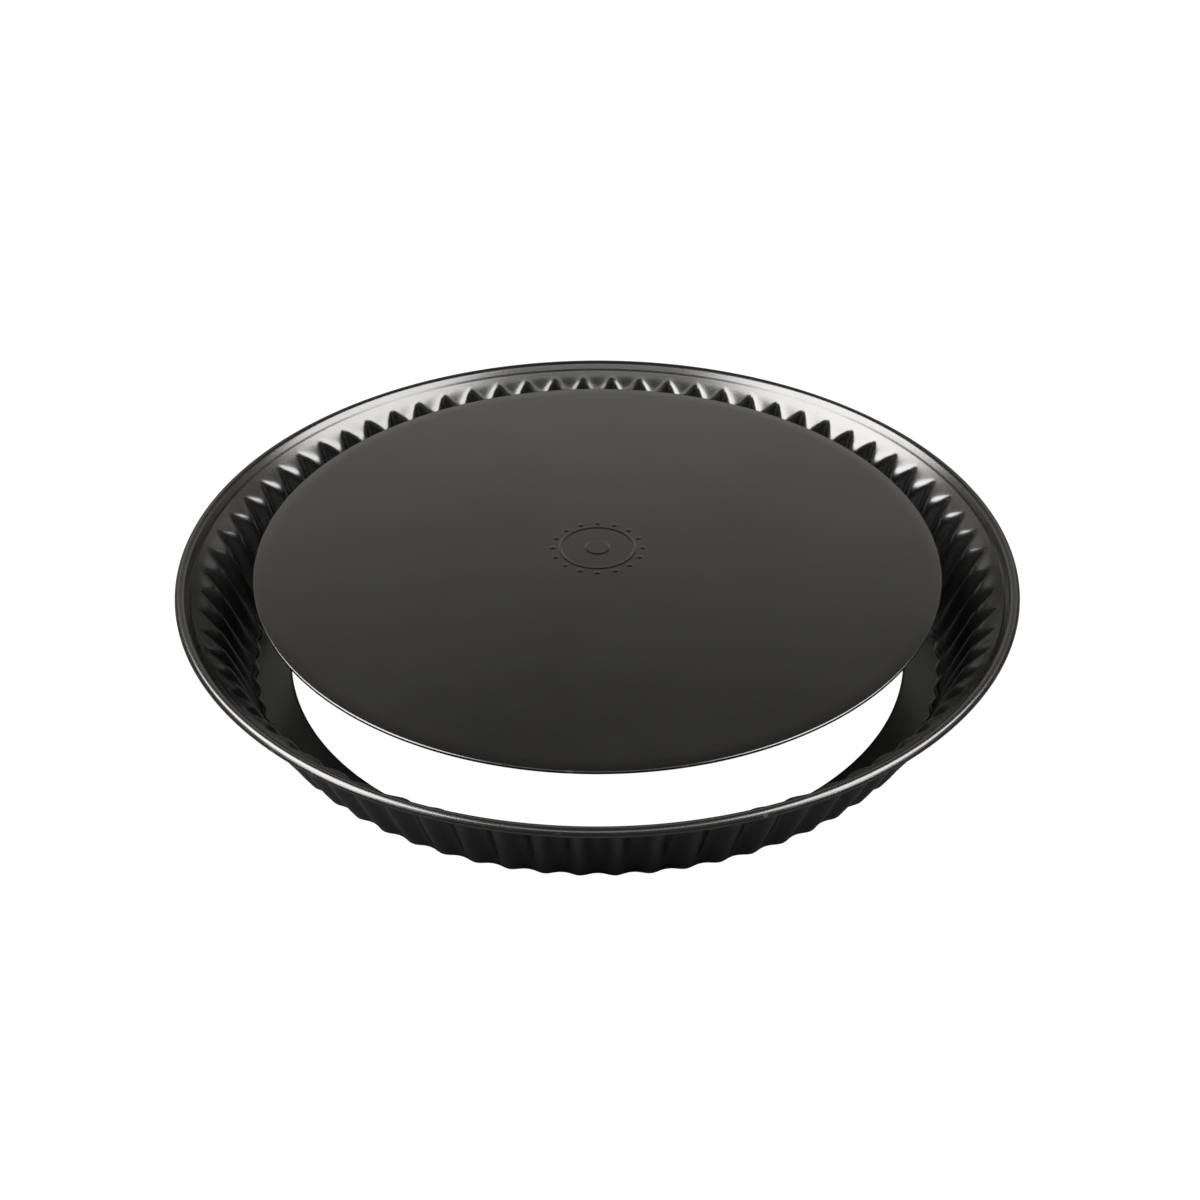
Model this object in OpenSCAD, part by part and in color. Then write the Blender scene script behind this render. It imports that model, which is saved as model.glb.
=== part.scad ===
// Loose-bottomed tart pan: a fluted ring with an inward ledge, and the flat base that lies on it.
// Millimetres, +Z up. The origin is the centre of the footprint, on the surface the ring stands on.
// The base slides along +Z. It is drawn base_lift above its seat, level with the rolled rim.

/* [Overall] */
// Outer diameter over the rolled rim
rim_d = 290; // [280:1:310]
// Height from the ledge's underside to the top of the rolled rim
pan_h = 38.4; // [36:0.1:44]
// Outer diameter of the wall at its foot, over the outward lobes
foot_d = 246.4; // [240:0.1:252]
// Thickness of the pressed sheet of the ring
sheet_t = 0.6; // [0.5:0.05:0.8]

/* [Ledge] */
// Diameter of the hole that the base is pushed up through
hole_d = 219.6; // [200:0.1:224]

/* [Flutes] */
// Number of flutes around the wall
flute_count = 72; // [60:4:80]
// Depth of a flute at the foot, from lobe to ridge
flute_depth_foot = 1; // [0.6:0.1:1.6]
// Depth of a flute where the ridges meet the collar, from lobe to ridge
flute_depth_max = 3.2; // [2:0.1:3.6]
// Height at which the ridges meet the collar
ridge_end_z = 28; // [25:0.5:29]

/* [Rolled rim] */
// Width of the flattened curl
curl_w = 4.6; // [4.2:0.1:5]
// Height of the flattened curl
curl_h = 2.3; // [2.2:0.1:3]

/* [Base] */
// Diameter of the loose base
base_d = 238; // [230:0.1:239]
// Thickness of the loose base
base_t = 1.2; // [0.8:0.1:2]
// Height of the base above its seat, as drawn
base_lift = 36.2; // [0:0.1:60]

/* [Emblem] */
// Diameter of the raised ring of the emblem
emblem_d = 27; // [20:1:36]
// Number of raised beads around the emblem
emblem_beads = 16; // [8:1:20]
// Height of the raised emblem above the base
emblem_rise = 0.15; // [0.1:0.05:0.3]

/* [Hidden] */
$fn = 96;
coating = [0.16, 0.16, 0.15];
coating_light = [0.24, 0.24, 0.23];
rim_r = rim_d / 2;
steps_per_flute = 6;
columns = flute_count * steps_per_flute;
// The ledge is a little thicker than the wall's foot that ends inside it.
skin = 0.03;
ledge_t = sheet_t + 2 * skin;
ledge_r = foot_d / 2 - 3.7;
foot_overlap = 1;
// The foot's outer corner is broken, as a bend in sheet is.
corner_w = 0.8;
corner_h = 0.9;
// The collar is a cone that ends at the curl. The lobes end on it higher up than the ridges.
collar_end_r = rim_r - 4.6;
collar_end_z = pan_h - 3.1;
collar_slope = 1.03;
lobe_end_z = pan_h - 5.8;
wall_top_z = lobe_end_z + 1;
// The lobes bulge by this much at the middle level.
lobe_bulge = 0.5;
middle_z = ridge_end_z / 2;
// The base seats this far above the ledge, so that the two solids don't touch.
seat_gap = 0.05;
base_z = ledge_t + seat_gap + base_lift;
// The emblem's solids start inside the base, so that they join it.
emblem_sink = 0.2;
emblem_h = emblem_sink + emblem_rise;
emblem_bead_d = 2.2;
emblem_line = 1.0;

// Outer radius of the collar's cone at height z.
function collar_r(z) = collar_end_r + (z - collar_end_z) * collar_slope;

// Outer radius of a ridge and of a lobe at height z, below the collar.
ridge_foot_r = foot_d / 2 - flute_depth_foot;
ridge_slope = (collar_r(ridge_end_z) - ridge_foot_r) / ridge_end_z;
lobe_slope = ridge_slope + (flute_depth_max - flute_depth_foot) / ridge_end_z;
function ridge_r(z) = ridge_foot_r + ridge_slope * z;
function lobe_r(z) = foot_d / 2 + lobe_slope * z;

// Horizontal thickness of the sloping sheet, in the wall and in the collar.
wall_w = sheet_t * sqrt(1 + lobe_slope * lobe_slope);
collar_w = sheet_t * sqrt(1 + collar_slope * collar_slope);

// One closed section of the wall and its foot. side is 1 on a lobe and -1 on a ridge.
function wall_section(side) =
    let (lobe_share = (1 + side) / 2)
    let (ridge_share = 1 - lobe_share)
    let (foot_r = lobe_share * lobe_r(0) + ridge_share * ridge_r(0))
    let (corner_r = lobe_share * lobe_r(corner_h) + ridge_share * ridge_r(corner_h))
    let (middle_r = lobe_share * (lobe_r(middle_z) + lobe_bulge) + ridge_share * ridge_r(middle_z))
    let (deep_r = lobe_share * lobe_r(ridge_end_z) + ridge_share * ridge_r(ridge_end_z))
    let (end_r = collar_r(lobe_end_z))
    let (top_r = collar_r(wall_top_z))
    [
        [ledge_r - foot_overlap, skin],
        [foot_r - corner_w, skin],
        [corner_r, corner_h],
        [middle_r, middle_z],
        [deep_r, ridge_end_z],
        [end_r, lobe_end_z],
        [top_r, wall_top_z],
        [top_r - collar_w, wall_top_z],
        [end_r - collar_w, lobe_end_z],
        [deep_r - wall_w, ridge_end_z],
        [middle_r - wall_w, middle_z],
        [foot_r - wall_w, ledge_t - skin],
        [ledge_r - foot_overlap, ledge_t - skin]
    ];

// The fluted wall and its foot, swept around the axis. A ridge faces the front, -Y.
module fluted_wall() {
    size = len(wall_section(0));
    wall_points = [
        for (i = [0:columns - 1])
            let (turn = 360 * i / columns - 90)
            let (section = wall_section(-cos(360 * i / steps_per_flute)))
            for (p = section) [p[0] * cos(turn), p[0] * sin(turn), p[1]]
    ];
    wall_faces = [
        for (i = [0:columns - 1], k = [0:size - 1])
            let (j = (i + 1) % columns, m = (k + 1) % size)
            let (a = i * size + k, b = j * size + k, c = j * size + m, d = i * size + m)
            for (f = [[a, d, c], [a, c, b]]) f
    ];
    polyhedron(points = wall_points, faces = wall_faces, convexity = 8);
}

// A rectangle with fully round ends, w by h, centred.
module slot_shape(w, h) {
    square([w - h, h], center = true);
    for (side = [-1, 1])
        translate([side * (w - h) / 2, 0]) circle(d = h);
}

// The hollow curl: the sheet turns out, down and back under. The slit is where its cut edge ends.
module curl_section() {
    slit_w = 0.5;
    translate([rim_r - curl_w / 2, pan_h - curl_h / 2])
        difference() {
            slot_shape(curl_w, curl_h);
            slot_shape(curl_w - 2 * sheet_t, curl_h - 2 * sheet_t);
            translate([sheet_t - curl_w / 4, -curl_h / 2]) square([slit_w, 2 * sheet_t], center = true);
        }
}

// The plain collar between the flutes and the curl. It laps the wall's end and ends inside the curl's sheet.
module collar_section() {
    lap = 0.08;
    start_z = lobe_end_z + 0.3;
    curl_end_r = rim_r - curl_w + curl_h / 2;
    curl_middle_z = pan_h - curl_h / 2;
    reach = (curl_h - sheet_t) / 2;
    polygon([
        [collar_r(start_z) - collar_w - lap, start_z],
        [collar_r(start_z) + lap, start_z],
        [collar_r(collar_end_z) + lap, collar_end_z],
        for (turn = [45, 20, -5]) [curl_end_r - reach * cos(turn), curl_middle_z - reach * sin(turn)],
        [collar_r(collar_end_z) - collar_w - lap, collar_end_z]
    ]);
}

module rolled_rim() {
    rotate_extrude($fn = 180) {
        curl_section();
        collar_section();
    }
}

// The flat ledge around the hole. The ring stands on its underside.
module ledge() {
    difference() {
        cylinder(h = ledge_t, r = ledge_r);
        translate([0, 0, -1]) cylinder(h = ledge_t + 2, d = hole_d);
    }
}

module fluted_ring() {
    color(coating) {
        ledge();
        fluted_wall();
        rolled_rim();
    }
}

// A plain round emblem: a raised ring, a bead in the middle and a circle of beads outside the ring.
module emblem() {
    bead_circle_r = emblem_d / 2 + emblem_bead_d;
    difference() {
        cylinder(h = emblem_h, d = emblem_d);
        translate([0, 0, -1]) cylinder(h = emblem_h + 2, d = emblem_d - 2 * emblem_line);
    }
    cylinder(h = emblem_h, d = emblem_d / 3);
    for (i = [1:emblem_beads])
        rotate(360 * i / emblem_beads)
            translate([bead_circle_r, 0, 0]) cylinder(h = emblem_h, d = emblem_bead_d);
}

// The flat base: a disc with a round edge and the emblem in its middle.
module loose_base() {
    color(coating_light)
        translate([0, 0, base_z]) {
            rotate_extrude() {
                square([base_d / 2 - base_t / 2, base_t]);
                translate([base_d / 2 - base_t / 2, base_t / 2]) circle(d = base_t);
            }
            translate([0, 0, base_t - emblem_sink]) emblem();
        }
}

fluted_ring();
loose_base();
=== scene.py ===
"""Tart pan: a fluted non-stick ring with a rolled rim, and its loose base raised level with the rim."""
import math

import bmesh
import bpy
import numpy as np
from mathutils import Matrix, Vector


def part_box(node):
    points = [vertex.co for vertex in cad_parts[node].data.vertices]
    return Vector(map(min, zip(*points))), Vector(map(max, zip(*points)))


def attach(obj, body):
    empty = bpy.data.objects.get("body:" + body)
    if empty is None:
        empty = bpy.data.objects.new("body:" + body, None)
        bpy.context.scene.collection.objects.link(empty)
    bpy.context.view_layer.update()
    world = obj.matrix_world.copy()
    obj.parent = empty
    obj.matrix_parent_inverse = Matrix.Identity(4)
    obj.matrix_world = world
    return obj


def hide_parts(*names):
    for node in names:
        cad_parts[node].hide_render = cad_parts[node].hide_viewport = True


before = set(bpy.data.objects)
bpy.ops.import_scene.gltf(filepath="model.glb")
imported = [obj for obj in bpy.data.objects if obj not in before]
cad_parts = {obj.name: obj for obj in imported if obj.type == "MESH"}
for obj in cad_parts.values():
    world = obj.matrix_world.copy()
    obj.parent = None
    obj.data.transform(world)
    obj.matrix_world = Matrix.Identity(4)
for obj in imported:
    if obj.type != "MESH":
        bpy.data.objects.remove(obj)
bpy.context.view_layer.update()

# Everything below is worked out in millimetres, as the ring and the base are drawn, and made in metres.
MM = 0.001

# ---------------------------------------------------------------- sizes
ring_low, ring_high = [Vector(p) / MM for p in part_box("fluted_ring")]
base_low, base_high = [Vector(p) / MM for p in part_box("loose_base")]

RIM_R = (ring_high.x - ring_low.x) / 2
PAN_H = ring_high.z
SHEET = 0.6
HALF_SHEET = SHEET / 2
# Longest stretch between two points of the sheet's outline.
FOOT_SPACING, CURL_SPACING = 0.8, 0.5

# The edge of the hole in the ledge, and the foot of the wall on the middle of the sheet.
HOLE_R = 109.8
FOOT_R = 122.35
FOOT_BEND = 1.4

# Wall. Lobes and the ridges between them climb from the foot, until the collar's cone takes over from both.
FLUTES = 72
POINTS_PER_FLUTE = 20
HALF_DEPTH_FOOT = 0.52
LOBE_SLOPE_FOOT = 0.54
LOBE_SLOPE_TOP = 0.355
LOBE_TOP_Z = 32.9
RIDGE_SLOPE = 0.362
RIDGE_ROUNDING = 0.15
WALL_BOTTOM_Z, WALL_TOP_Z, WALL_STEP = 6.0, 35.1, 0.4
# The flutes fade in on the ledge between these distances inwards from FOOT_R.
FLUTES_START, FLUTES_FULL = 6, 1.8

# Collar: the plain cone between the flutes and the curl, by one point on it and its slope.
COLLAR_R, COLLAR_Z = RIM_R - 5.0, 35.3
COLLAR_SLOPE = 1.03
# How softly a lobe and a ridge turn into the collar, and how much of that is lost towards the wall's top.
LOBE_BLEND, RIDGE_BLEND = 0.8, 1.3
BLEND_LOSS, BLEND_LOSS_Z = 0.8, LOBE_TOP_Z - 5
# The cone stands back by this much behind a ridge, which gives the ridge's top a round nose.
NOSE = 1.5
NOSE_Z, NOSE_END_Z = LOBE_TOP_Z - 6, LOBE_TOP_Z + 1

# Curl: a small groove, a flat top, a bevelled outer corner, and the edge tucked back under.
GROOVE_RUN, GROOVE_RISE = 0.55, 0.8
CURL_TOP_INSET = 2.5
CURL_BEVEL = 0.9
CURL_DROP = 1.65
CURL_TUCK = 2.9

# Base.
BASE_R = (base_high.x - base_low.x) / 2
BASE_T = 1.2
BASE_STEPS = 432
EMBLEM_RISE = 0.15
BASE_TOP = base_high.z - EMBLEM_RISE

# Emblem: a ring, a middle bead and a circle of beads. Each fade gives the distances from the middle of the
# shape up to which it has its full height, and at which it ends.
EMBLEM_R = 13.5
RING_HALF_WIDTH, RING_FADE = 0.5, (0.15, 0.6)
MIDDLE_FADE = (EMBLEM_R / 3 - 0.5, EMBLEM_R / 3)
BEADS = 16
BEAD_CIRCLE_R = EMBLEM_R + 2.2
BEAD_FADE = (0.5, 1.1)


# ---------------------------------------------------------------- small helpers
def smooth(x, low, high):
    """0 below low, 1 above high, and a smooth step between them."""
    t = np.clip((np.asarray(x, float) - low) / (high - low), 0.0, 1.0)
    return t * t * (3 - 2 * t)


def unit(v):
    """The same vectors with a length of 1."""
    return v / np.linalg.norm(v, axis=-1, keepdims=True)


def rounded_path(corners, arc_step=math.radians(9)):
    """Points along straight lines through the corners (r, z, fillet radius), with each corner rounded."""
    points = [np.array(corners[0][:2], float)]
    for before, here, after in zip(corners, corners[1:], corners[2:]):
        p0, p1, p2 = (np.array(c[:2], float) for c in (before, here, after))
        into, out = (p1 - p0) / np.linalg.norm(p1 - p0), (p2 - p1) / np.linalg.norm(p2 - p1)
        turn = math.atan2(into[0] * out[1] - into[1] * out[0], into @ out)
        cut = here[2] * math.tan(abs(turn) / 2)
        side = math.copysign(1, turn)
        centre = p1 - into * cut + side * here[2] * np.array([-into[1], into[0]])
        start = p1 - into * cut - centre
        steps = max(2, math.ceil(abs(turn) / arc_step))
        for k in range(steps + 1):
            a = turn * k / steps
            c, s = math.cos(a), math.sin(a)
            points.append(centre + [c * start[0] - s * start[1], s * start[0] + c * start[1]])
    points.append(np.array(corners[-1][:2], float))
    return np.array(points)


def resample(points, longest):
    """The same path with its long straight stretches divided."""
    out = [points[0]]
    for a, b in zip(points, points[1:]):
        n = max(1, math.ceil(np.linalg.norm(b - a) / longest))
        out += [a + (b - a) * k / n for k in range(1, n + 1)]
    return np.array(out)


def turns(steps):
    """Angles all round the axis, starting at the front."""
    return 2 * math.pi * np.arange(steps) / steps


def swept_mesh(name, vertices, sections, size, loop=True):
    """A mesh of quads between neighbouring sections of size points each, all the way round the axis.

    With loop, the last point of a section also joins its first.
    """
    i, k = np.meshgrid(np.arange(sections), np.arange(size if loop else size - 1), indexing="ij")
    j, m = (i + 1) % sections, (k + 1) % size
    quads = np.stack([i * size + k, j * size + k, j * size + m, i * size + m], -1).reshape(-1, 4)
    mesh = bpy.data.meshes.new(name)
    mesh.from_pydata((vertices * MM).tolist(), [], quads.tolist())
    mesh.shade_smooth()
    mesh.update()
    return mesh


def add_object(name, data):
    """A new object in the scene, with its mesh, light or camera data."""
    item = bpy.data.objects.new(name, data)
    bpy.context.scene.collection.objects.link(item)
    return item


# ---------------------------------------------------------------- the fluted ring
def collar(z):
    """Radius of the plain cone between the wall and the curl."""
    return COLLAR_R + (z - COLLAR_Z) * COLLAR_SLOPE


def lobe_line(z):
    """Radius of the outermost line of a flute, which steepens as it climbs."""
    bend = (LOBE_SLOPE_FOOT - LOBE_SLOPE_TOP) / (2 * LOBE_TOP_Z)
    return FOOT_R + HALF_DEPTH_FOOT + LOBE_SLOPE_FOOT * z - bend * z * z


def ridge_line(z):
    """Radius of the innermost line between two flutes, which is straight."""
    return FOOT_R - HALF_DEPTH_FOOT + RIDGE_SLOPE * z


def wall_path():
    """The middle of the sheet from the hole's edge up the middle of the wall, as (r, z) points."""
    heights = np.arange(WALL_BOTTOM_Z, WALL_TOP_Z + 0.01, WALL_STEP)
    middle = (lobe_line(heights) + ridge_line(heights)) / 2
    corners = [
        (HOLE_R + HALF_SHEET, HALF_SHEET, 0),
        (FOOT_R, HALF_SHEET, FOOT_BEND),
        (middle[0], heights[0], 0),
    ]
    foot = resample(rounded_path(corners), FOOT_SPACING)
    return np.vstack([foot[:-1], np.stack([middle, heights], -1)])


def curl_path():
    """The middle of the sheet from the top of the wall over the curl to its tucked-in edge."""
    top, outside = PAN_H - HALF_SHEET, RIM_R - HALF_SHEET
    corners = [
        (collar(WALL_TOP_Z), WALL_TOP_Z, 0),
        (COLLAR_R, COLLAR_Z, 0.4),
        (COLLAR_R + GROOVE_RUN, COLLAR_Z + GROOVE_RISE, 0.7),
        (outside - CURL_TOP_INSET, top, 1.9),
        (outside - CURL_BEVEL, top, 1.3),
        (outside, top - CURL_BEVEL, 0.8),
        (outside, top - CURL_DROP, 0.4),
        (outside - CURL_TUCK, top - CURL_DROP, 0),
    ]
    return resample(rounded_path(corners), CURL_SPACING)


def flute_wave(turn):
    """1 on a lobe and -1 on a ridge, with the ridges rounder than the lobes. A ridge faces the front."""
    return -np.cos(FLUTES * turn) - RIDGE_ROUNDING * np.sin(FLUTES * turn) ** 2


def fluted_radius(turn, wall_r, wall_z):
    """Radius of the wall, with a row for each turn: the larger of the flutes and the cone, softly joined."""
    fade_in = smooth(wall_r, FOOT_R - FLUTES_START, FOOT_R - FLUTES_FULL)
    half_depth = (lobe_line(wall_z) - ridge_line(wall_z)) / 2 * fade_in
    wave = flute_wave(turn)[:, None]
    flutes = wall_r[None, :] + wave * half_depth[None, :]
    blend = RIDGE_BLEND + (LOBE_BLEND - RIDGE_BLEND) * (1 + wave) / 2
    blend = blend * (1 - BLEND_LOSS * smooth(wall_z, BLEND_LOSS_Z, WALL_TOP_Z))
    cone = collar(wall_z) - NOSE * (1 - wave) / 2 * (1 - smooth(wall_z, NOSE_Z, NOSE_END_Z))
    return blend * np.logaddexp(flutes / blend, cone / blend)


def thickened(middle):
    """Closed sections around the sheet's middle surface, with the sheet's two cut edges rounded."""
    along = unit(np.gradient(middle, axis=1))
    around = np.roll(middle, -1, 0) - np.roll(middle, 1, 0)
    normal = unit(np.cross(around, along))
    upper, under = middle + HALF_SHEET * normal, middle - HALF_SHEET * normal
    bends = [(math.cos(a), math.sin(a)) for a in np.radians((45, 90, 135))]
    end = [middle[:, -1] + HALF_SHEET * (c * normal[:, -1] + s * along[:, -1]) for c, s in bends]
    start = [middle[:, 0] - HALF_SHEET * (c * normal[:, 0] + s * along[:, 0]) for c, s in bends]
    return np.concatenate([upper, np.stack(end, 1), under[:, ::-1], np.stack(start, 1)], axis=1)


def make_ring():
    """The ledge, the fluted wall, the collar and the curl, as one sheet of even thickness."""
    steps = FLUTES * POINTS_PER_FLUTE
    turn = turns(steps)
    wall, curl = wall_path(), curl_path()[1:]
    wall_r, wall_z = wall[:, 0], wall[:, 1]
    curl_r = np.broadcast_to(curl[None, :, 0], (steps, len(curl)))
    r = np.hstack([fluted_radius(turn, wall_r, wall_z), curl_r])
    z = np.broadcast_to(np.concatenate([wall_z, curl[:, 1]])[None, :], r.shape)
    middle = np.stack([r * np.sin(turn)[:, None], -r * np.cos(turn)[:, None], z], -1)
    grid = thickened(middle)
    return add_object("ring_sheet", swept_mesh("ring_sheet", grid.reshape(-1, 3), steps, grid.shape[1]))


# ---------------------------------------------------------------- the loose base
def emblem_height(x, y):
    """Relief of the plain round emblem above the base's top."""
    r, a = np.hypot(x, y), np.arctan2(y, x)
    ring = 1 - smooth(np.abs(r - EMBLEM_R + RING_HALF_WIDTH), *RING_FADE)
    middle = 1 - smooth(np.abs(r), *MIDDLE_FADE)
    bead_angle = 2 * math.pi / BEADS
    nearest = np.round(a / bead_angle) * bead_angle
    gap = np.hypot(x - BEAD_CIRCLE_R * np.cos(nearest), y - BEAD_CIRCLE_R * np.sin(nearest))
    beads = 1 - smooth(gap, *BEAD_FADE)
    return EMBLEM_RISE * np.maximum(np.maximum(ring, middle), beads)


def base_profile():
    """The base's outline from its middle over the top and the round edge to its underside's middle.

    Returned with the number of points on the top, which are close together under the emblem.
    """
    edge = BASE_T / 2
    fine_step, fine_end = 0.25, EMBLEM_R + 4.5
    coarse_points, under_points = 24, 12
    fine = np.arange(fine_step, fine_end, fine_step)
    coarse = np.linspace(fine_end + 0.5, BASE_R - edge, coarse_points)
    top = [(r, BASE_TOP) for r in [*fine, *coarse]]
    rim = [
        (BASE_R - edge + edge * math.sin(a), BASE_TOP - edge + edge * math.cos(a))
        for a in np.radians(np.arange(15, 180, 15))
    ]
    under = [(r, BASE_TOP - BASE_T) for r in np.linspace(BASE_R - edge, fine_step, under_points)]
    return np.array(top + rim + under), len(top)


def close_middle(mesh, size):
    """Closes the small hole in the middle of the base's top and underside."""
    build = bmesh.new()
    build.from_mesh(mesh)
    build.verts.ensure_lookup_table()
    for k in (0, size - 1):
        ring = [build.verts[i * size + k] for i in range(BASE_STEPS)]
        face = build.faces.new(ring if k == 0 else ring[::-1])
        face.smooth = True
    bmesh.ops.recalc_face_normals(build, faces=build.faces)
    build.to_mesh(mesh)
    build.free()


def make_base():
    """The flat disc with its round edge and the emblem in its middle."""
    profile, on_top = base_profile()
    turn = turns(BASE_STEPS)
    x, y = profile[None, :, 0] * np.sin(turn)[:, None], -profile[None, :, 0] * np.cos(turn)[:, None]
    z = np.array(np.broadcast_to(profile[None, :, 1], x.shape))
    z[:, :on_top] += emblem_height(x[:, :on_top], y[:, :on_top])
    vertices = np.stack([x, y, z], -1).reshape(-1, 3)
    mesh = swept_mesh("base_disc", vertices, BASE_STEPS, len(profile), loop=False)
    close_middle(mesh, len(profile))
    return add_object("base_disc", mesh)


# ---------------------------------------------------------------- materials
def noise(tree, place, scale, detail, distortion=0.0):
    """A noise texture in the object's own coordinates, with features about 1 / scale metres apart."""
    texture = tree.nodes.new("ShaderNodeTexNoise")
    texture.inputs["Scale"].default_value = scale
    texture.inputs["Detail"].default_value = detail
    texture.inputs["Distortion"].default_value = distortion
    tree.links.new(place, texture.inputs["Vector"])
    return texture.outputs["Fac"]


def mapped(tree, value, start, end, low, high):
    """A value that goes from low to high while another goes from start to end."""
    change = tree.nodes.new("ShaderNodeMapRange")
    change.interpolation_type = "SMOOTHSTEP"
    change.inputs["From Min"].default_value = start
    change.inputs["From Max"].default_value = end
    change.inputs["To Min"].default_value = low
    change.inputs["To Max"].default_value = high
    tree.links.new(value, change.inputs["Value"])
    return change.outputs["Result"]


def combined(tree, operation, first, second):
    """The sum or the product of two values."""
    both = tree.nodes.new("ShaderNodeMath")
    both.operation = operation
    tree.links.new(first, both.inputs[0])
    tree.links.new(second, both.inputs[1])
    return both.outputs["Value"]


def vector_math(tree, operation, vector):
    """A vector operation's node, with its first input linked."""
    node = tree.nodes.new("ShaderNodeVectorMath")
    node.operation = operation
    tree.links.new(vector, node.inputs[0])
    return node


def layered(tree, share, under, colour):
    """A colour laid over another (a socket) where share is 1."""
    mix = tree.nodes.new("ShaderNodeMix")
    mix.data_type = "RGBA"
    tree.links.new(share, mix.inputs[0])
    tree.links.new(under, mix.inputs[6])
    mix.inputs[7].default_value = (*colour, 1)
    return mix.outputs[2]


def clouded(tree, value, dark, light):
    """A colour that goes from dark to light in soft clouds."""
    tone = tree.nodes.new("ShaderNodeValToRGB")
    for element, position, colour in zip(tone.color_ramp.elements, (0.35, 0.65), (dark, light)):
        element.position = position
        element.color = (*colour, 1)
    tree.links.new(value, tone.inputs["Fac"])
    return tone.outputs["Color"]


def bumped(tree, height, strength, depth):
    """A bump node. depth is in millimetres."""
    bump = tree.nodes.new("ShaderNodeBump")
    bump.inputs["Strength"].default_value = strength
    bump.inputs["Distance"].default_value = depth * MM
    tree.links.new(height, bump.inputs["Height"])
    return bump


def edge_wear(tree, place, edge_r):
    """How worn the coating is: patches along the outermost strip, which ends at the radius edge_r."""
    strip = 0.7
    across = vector_math(tree, "MULTIPLY", place)
    across.inputs[1].default_value = (1, 1, 0)
    radius = vector_math(tree, "LENGTH", across.outputs["Vector"]).outputs["Value"]
    edge = mapped(tree, radius, (edge_r - strip) * MM, edge_r * MM, 0, 1)
    rubbed = mapped(tree, noise(tree, place, scale=130, detail=5, distortion=1.0), 0.56, 0.72, 0, 0.55)
    return combined(tree, "MULTIPLY", edge, rubbed)


def coating(name, dark, light, roughness, edge_r):
    """Dark non-stick coating: fine grain, faint clouds, metal flecks and wear on the outermost edge."""
    fleck_colour = (0.03, 0.029, 0.027)
    worn_colour, worn_roughness = (0.11, 0.105, 0.1), 0.12
    uneven = 0.01
    material = bpy.data.materials.new(name)
    material.use_nodes = True
    tree = material.node_tree
    shader = tree.nodes["Principled BSDF"]
    shader.inputs["IOR"].default_value = 1.8
    place = tree.nodes.new("ShaderNodeTexCoord").outputs["Object"]

    clouds = clouded(tree, noise(tree, place, scale=22, detail=4), dark, light)
    flecks = mapped(tree, noise(tree, place, scale=2600, detail=1), 0.66, 0.8, 0, 0.8)
    wear = edge_wear(tree, place, edge_r)
    colour = layered(tree, wear, layered(tree, flecks, clouds, fleck_colour), worn_colour)
    tree.links.new(colour, shader.inputs["Base Color"])

    patches = noise(tree, place, scale=55, detail=3)
    satin = mapped(tree, patches, 0.3, 0.7, roughness - uneven, roughness + uneven)
    rubbed = mapped(tree, wear, 0, 1, 0, worn_roughness)
    tree.links.new(combined(tree, "ADD", satin, rubbed), shader.inputs["Roughness"])

    waves = bumped(tree, noise(tree, place, scale=90, detail=2), strength=0.03, depth=0.12)
    grain = bumped(tree, noise(tree, place, scale=1500, detail=4), strength=0.35, depth=0.04)
    tree.links.new(waves.outputs["Normal"], grain.inputs["Normal"])
    tree.links.new(grain.outputs["Normal"], shader.inputs["Normal"])
    return material


def dress(piece, body, node, material):
    """Gives a piece its material and its body, and hides the CAD node it stands for."""
    piece.data.materials.append(material)
    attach(piece, body)
    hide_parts(node)


# ---------------------------------------------------------------- studio
def face_towards(item, direction):
    """Turns a camera or a lamp to look along a direction."""
    item.rotation_mode = "QUATERNION"
    item.rotation_quaternion = direction.to_track_quat("-Z", "Y")


def make_camera():
    """Stands in front of the pan, 36 degrees above it, with a 49 mm lens."""
    distance, elevation = 592.1, math.radians(36.31)
    aim = Vector((0.9, 0, 15.6)) * MM
    data = bpy.data.cameras.new("camera")
    data.lens = 48.83
    data.sensor_width = 36
    camera = add_object("camera", data)
    camera.location = Vector((0, -math.cos(elevation), math.sin(elevation))) * distance * MM
    face_towards(camera, aim - camera.location)
    bpy.context.scene.camera = camera


def shown_to_camera(tree, lighting, seen, output):
    """The camera sees one shader, while the other lights the pan and is mirrored in it."""
    path, mix = tree.nodes.new("ShaderNodeLightPath"), tree.nodes.new("ShaderNodeMixShader")
    tree.links.new(path.outputs["Is Camera Ray"], mix.inputs["Fac"])
    tree.links.new(lighting, mix.inputs[1])
    tree.links.new(seen, mix.inputs[2])
    tree.links.new(mix.outputs["Shader"], tree.nodes[output].inputs["Surface"])


def make_floor():
    """A pale table that looks white, and is darker where the pan mirrors it, as under a black-lined tent."""
    side, z = 6.0, -0.0002
    mesh = bpy.data.meshes.new("floor")
    corners = [(-side, -side, z), (side, -side, z), (side, side, z), (-side, side, z)]
    mesh.from_pydata(corners, [], [(0, 1, 2, 3)])
    floor = add_object("floor", mesh)
    material = bpy.data.materials.new("floor")
    material.use_nodes = True
    tree = material.node_tree
    seen, lit = tree.nodes["Principled BSDF"], tree.nodes.new("ShaderNodeBsdfDiffuse")
    seen.inputs["Base Color"].default_value = (0.05, 0.05, 0.05, 1)
    seen.inputs["Roughness"].default_value = 0.9
    seen.inputs["Specular IOR Level"].default_value = 0
    seen.inputs["Emission Color"].default_value = (1, 1, 1, 1)
    seen.inputs["Emission Strength"].default_value = 1.0
    lit.inputs["Color"].default_value = (0.125, 0.125, 0.125, 1)
    shown_to_camera(tree, lit.outputs["BSDF"], seen.outputs["BSDF"], "Material Output")
    mesh.materials.append(material)


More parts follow.
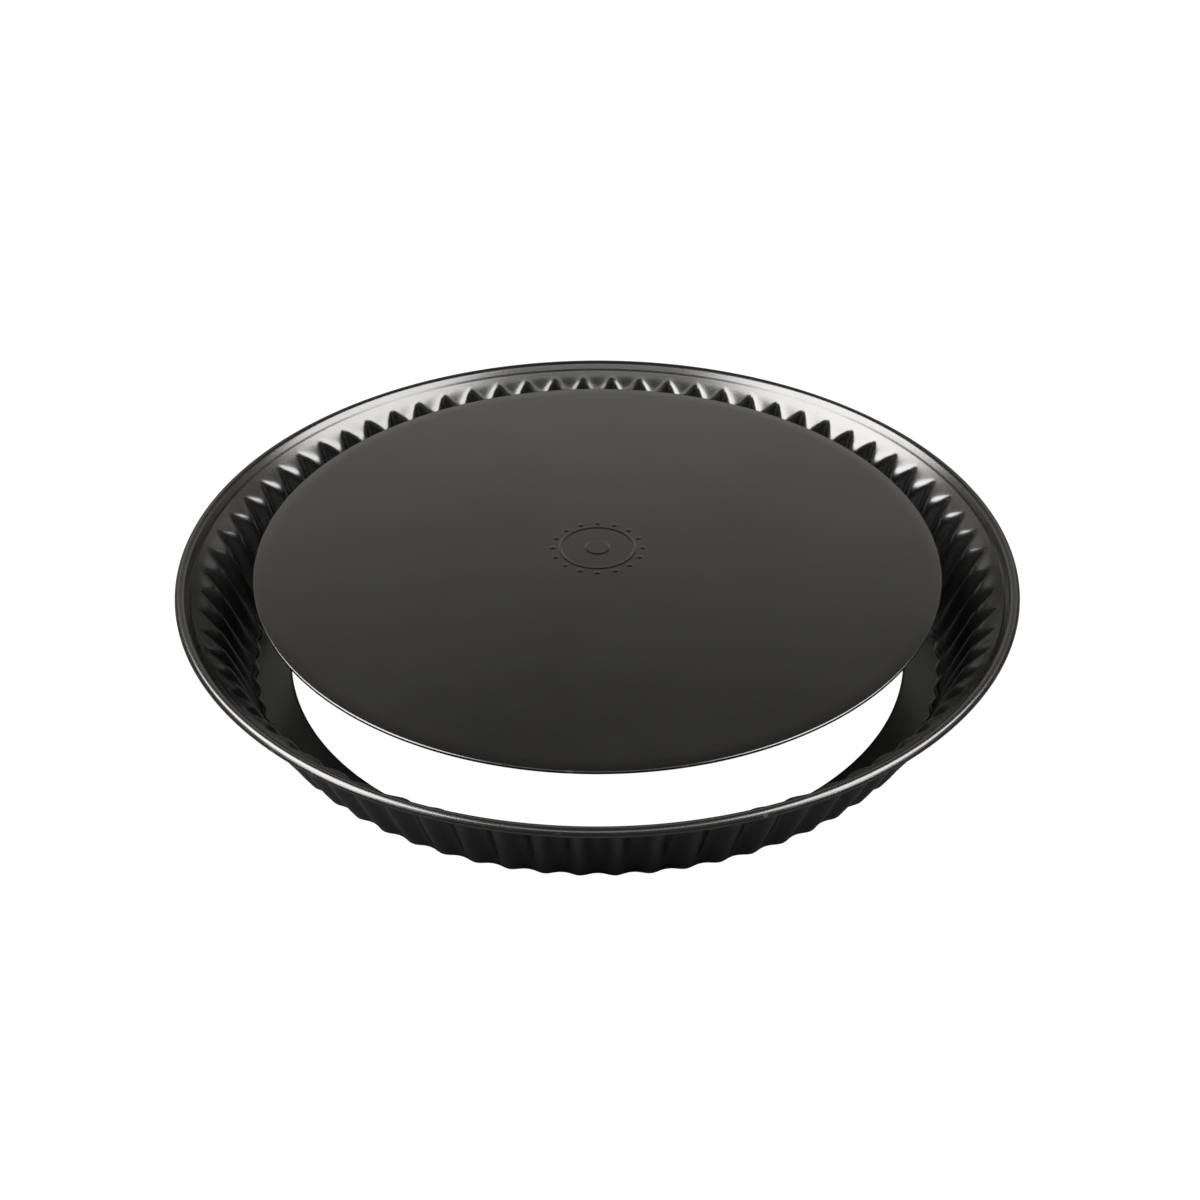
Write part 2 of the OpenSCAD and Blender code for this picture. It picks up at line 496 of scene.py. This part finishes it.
def softbox(name, direction, distance, width, height, radiance):
    """A rectangular lamp that faces the pan from a direction. Its sizes are in metres."""
    data = bpy.data.lights.new(name, "AREA")
    data.shape = "RECTANGLE"
    data.size, data.size_y = width, height
    data.energy = radiance * width * height * math.pi
    data.color = (1.0, 0.985, 0.97)
    lamp = add_object(name, data)
    lamp.location = Vector(direction).normalized() * distance
    face_towards(lamp, -Vector(direction))


def level_ramp(tree, value, stops):
    """A warm grey that follows stops of (position, level)."""
    ramp = tree.nodes.new("ShaderNodeValToRGB")
    ramp.color_ramp.interpolation = "EASE"
    while len(ramp.color_ramp.elements) < len(stops):
        ramp.color_ramp.elements.new(0.5)
    for element, (position, level) in zip(ramp.color_ramp.elements, stops):
        element.position = position
        element.color = (level, 0.99 * level, 0.95 * level, 1)
    tree.links.new(value, ramp.inputs["Fac"])
    return ramp.outputs["Color"]


def make_world():
    """A dark room with a pale band behind the pan, which lights it. The camera sees plain white instead."""
    world = bpy.data.worlds.new("studio")
    bpy.context.scene.world = world
    world.use_nodes = True
    tree = world.node_tree
    parts = tree.nodes.new("ShaderNodeSeparateXYZ")
    tree.links.new(tree.nodes.new("ShaderNodeTexCoord").outputs["Generated"], parts.inputs["Vector"])
    by_height = ((0.0, 0.04), (0.2, 0.1), (0.41, 1.0), (0.53, 0.5), (0.65, 0.12), (0.8, 0.03))
    by_depth = ((0.0, 0.3), (0.45, 0.4), (0.8, 1.0), (1.0, 1.0))
    band = vector_math(tree, "MULTIPLY", level_ramp(tree, parts.outputs["Z"], by_height))
    tree.links.new(level_ramp(tree, parts.outputs["Y"], by_depth), band.inputs[1])
    room, seen = tree.nodes["Background"], tree.nodes.new("ShaderNodeBackground")
    tree.links.new(band.outputs["Vector"], room.inputs["Color"])
    room.inputs["Strength"].default_value = 0.85
    seen.inputs["Color"].default_value = (1, 1, 1, 1)
    shown_to_camera(tree, room.outputs["Background"], seen.outputs["Background"], "World Output")


def make_studio():
    """Camera, table, surroundings and three lamps: one at each side and a weak one above the front."""
    make_camera()
    make_floor()
    make_world()
    softbox("left_softbox", (-0.66, 0.0, 0.75), distance=1.3, width=1.3, height=0.85, radiance=11.0)
    softbox("right_softbox", (0.64, -0.06, 0.77), distance=1.3, width=1.05, height=0.8, radiance=9.5)
    softbox("top_softbox", (0, -0.45, 0.89), distance=1.5, width=0.9, height=0.5, radiance=2.0)
    bpy.context.scene.view_settings.view_transform = "Standard"


make_studio()
ring = make_ring()
ring_coating = coating("ring_coating", (0.0019, 0.0018, 0.0017), (0.0031, 0.003, 0.0028), 0.24, RIM_R)
dress(ring, "ring", "fluted_ring", ring_coating)
base = make_base()
base_coating = coating("base_coating", (0.0019, 0.0018, 0.0016), (0.0032, 0.0031, 0.0028), 0.2, BASE_R)
dress(base, "base", "loose_base", base_coating)
